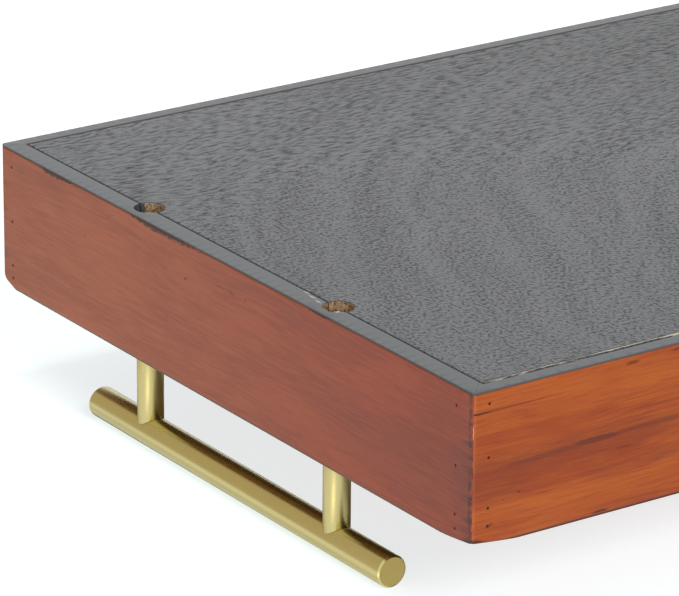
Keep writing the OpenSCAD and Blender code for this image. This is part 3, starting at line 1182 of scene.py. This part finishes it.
class TRAY_OT_panel(bpy.types.Operator):
    """Build the bottom panel with its notches"""

    bl_idname = "tray.panel"
    bl_label = "Bottom panel"

    def execute(self, context):
        sizes = context.scene.tray_frame
        panel = block("panel_board", PANEL_LOW, PANEL_HIGH)
        carve(panel, bores("bore", sizes.bore_r, sizes.bore_deep, BORE_SIDES))
        ease(panel, sharp, sizes.panel_ease, EASE_SEGMENTS)
        near = PANEL_HIGH.y - sizes.bead
        groove = block(
            "groove", (PANEL_LOW.x + sizes.bead, near - sizes.groove, -OVERRUN),
            (PANEL_HIGH.x - sizes.bead, near, sizes.groove),
        )
        carve(panel, groove)
        hand_over(panel, "bottom_panel", panel_finish(context.scene.tray_colours, sizes))
        return {"FINISHED"}


class TRAY_OT_handles(bpy.types.Operator):
    """Build the two bars and their four posts"""

    bl_idname = "tray.handles"
    bl_label = "Bar handles"

    def execute(self, context):
        sizes = context.scene.tray_handles
        finish = brass_finish(context.scene.tray_colours)
        for side, end in ((-1, "left"), (1, "right")):
            bar = self.bar(f"bar_{end}", side * POST_X, sizes)
            hand_over(bar, f"handle_bar_{end}", finish)
            for way, half in ((-1, "front"), (1, "back")):
                post = self.post(f"post_{end}_{half}_turned", side * POST_X, way * POST_Y, sizes)
                hand_over(post, f"post_{end}_{half}", finish)
        return {"FINISHED"}

    def bar(self, name, x, sizes):
        """A chamfered bar, tapped from below."""
        bar = rod(name, (x, BAR_LOW.y, BAR_Z), (x, BAR_HIGH.y, BAR_Z), BAR_R, BAR_SIDES)
        ease(bar, sharp, sizes.chamfer)
        ease(bar, sharp, sizes.edge_ease, EASE_SEGMENTS)
        low = BAR_Z - BAR_R
        carve(bar, join(*(
            rod("tapped", (x, y, low - OVERRUN), (x, y, low + sizes.stud_in_bar), sizes.stud_hole_r, HOLE_SIDES)
            for y in (-POST_Y, POST_Y)
        )))
        return bar

    def post(self, name, x, y, sizes):
        """A turned post with a saddle that the bar lies in."""
        radius = (POST_HIGH.x - POST_LOW.x) / 2
        post = rod(name, (x, y, POST_LOW.z), (x, y, BAR_Z), radius, POST_SIDES)
        reach = radius * 2
        carve(post, rod("saddle", (x, y - reach, BAR_Z), (x, y + reach, BAR_Z), BAR_R + sizes.saddle_gap, BAR_SIDES))
        ease(post, sharp, sizes.edge_ease, EASE_SEGMENTS)
        foot, deep = (x, y, RAIL_H - OVERRUN), (x, y, RAIL_H + sizes.screw_hole_deep)
        carve(post, rod("screw_hole", foot, deep, sizes.screw_hole_r, HOLE_SIDES))
        deep = (x, y, BAR_Z - BAR_R - sizes.stud_in_post)
        carve(post, rod("stud_hole", deep, (x, y, BAR_Z), sizes.stud_hole_r, HOLE_SIDES))
        return post


class TRAY_OT_plugs(bpy.types.Operator):
    """Build the fillings over the brads from one plug with a sunken dark dot"""

    bl_idname = "tray.plugs"
    bl_label = "Brad fillings"

    def execute(self, context):
        colours = context.scene.tray_colours
        end_finish, side_finish = rail_finishes(colours)
        dark = filler_finish(colours)
        plug = self.plug(context.scene.tray_frame)
        for node in FILLERS:
            copies = []
            for number, (_, face, inward) in enumerate(fillers(node)):
                made = copy_of(plug, f"{node}_{number}")
                made.data.materials.append(end_finish if abs(inward.x) > abs(inward.y) else side_finish)
                made.data.materials.append(dark)
                made.matrix_world = (
                    Matrix.Translation(face)
                    @ inward.to_track_quat("Z", "Y").to_matrix().to_4x4()
                    @ Matrix.Rotation(number * PLUG_TURN, 4, "Z")
                )
                only(made)
                copies.append(placed(made.name))
            whole = join(*copies)
            whole.name = node.replace("brad_fillers", "brad_fillings")
            stand_for(whole, node)
        remove(plug)
        return {"FINISHED"}

    def plug(self, sizes):
        """A filling with its face at z = 0, its depth along +Z and a rough dark dot sunk in its face."""
        plug = rod("brad_plug", (0.0, 0.0, 0.0), (0.0, 0.0, sizes.plug_deep), sizes.plug_r, DOT_SIDES)
        edit(plug, "FACE")
        pick(plug, lambda face: face.normal.z < -SQUARE_ON, "faces")
        bpy.ops.mesh.inset(thickness=sizes.plug_r - sizes.dot_r, depth=0.0)
        mesh = bmesh.from_edit_mesh(plug.data)
        for face in mesh.faces:
            face.material_index = int(face.select)
        bmesh.update_edit_mesh(plug.data)
        # The dot is made uneven and then flat again, before it is sunk
        bpy.ops.transform.vertex_random(offset=sizes.dot_r / 3, seed=DOT_SEED)
        bpy.ops.transform.resize(value=(1.0, 1.0, 0.0), center_override=ORIGIN)
        bpy.ops.mesh.inset(thickness=sizes.dot_r / 4, depth=-sizes.dot_dish)
        close()
        checked(plug)
        return plug


class TRAY_OT_fastenings(bpy.types.Operator):
    """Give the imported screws, studs and brads their finish"""

    bl_idname = "tray.fastenings"
    bl_label = "Fastenings"

    def execute(self, context):
        steel = steel_finish(context.scene.tray_colours)
        for name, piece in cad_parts.items():
            if name.startswith(("handle_screws", "post_studs", "corner_brads")):
                dress(piece, steel)
        return {"FINISHED"}


class TRAY_PT_sidebar(bpy.types.Panel):
    """Lists the tray's operators and settings"""

    bl_idname = "TRAY_PT_sidebar"
    bl_label = "Wooden tray"
    bl_space_type = "VIEW_3D"
    bl_region_type = "UI"
    bl_category = "Tray"

    def draw(self, context):
        for operator in OPERATORS:
            self.layout.operator(operator.bl_idname)
        for settings in SETTINGS:
            box = self.layout.box()
            owner = getattr(context.scene, settings)
            for name in owner.bl_rna.properties.keys():
                if name not in ("rna_type", "name"):
                    box.prop(owner, name)


SETTINGS = {
    "tray_frame": FrameSizes, "tray_handles": HandleSizes, "tray_colours": TrayColours, "tray_studio": StudioSettings,
}
OPERATORS = (
    TRAY_OT_studio, TRAY_OT_rails, TRAY_OT_panel, TRAY_OT_handles, TRAY_OT_plugs, TRAY_OT_fastenings,
)
CLASSES = (*SETTINGS.values(), *OPERATORS, TRAY_PT_sidebar)


def register():
    for made in CLASSES:
        bpy.utils.register_class(made)
    for name, settings in SETTINGS.items():
        setattr(bpy.types.Scene, name, bpy.props.PointerProperty(type=settings))


def unregister():
    for name in SETTINGS:
        delattr(bpy.types.Scene, name)
    for made in reversed(CLASSES):
        bpy.utils.unregister_class(made)


def main():
    register()
    bpy.ops.tray.studio()
    bpy.ops.tray.rails()
    bpy.ops.tray.panel()
    bpy.ops.tray.handles()
    bpy.ops.tray.plugs()
    bpy.ops.tray.fastenings()


if __name__ == "__main__":
    main()
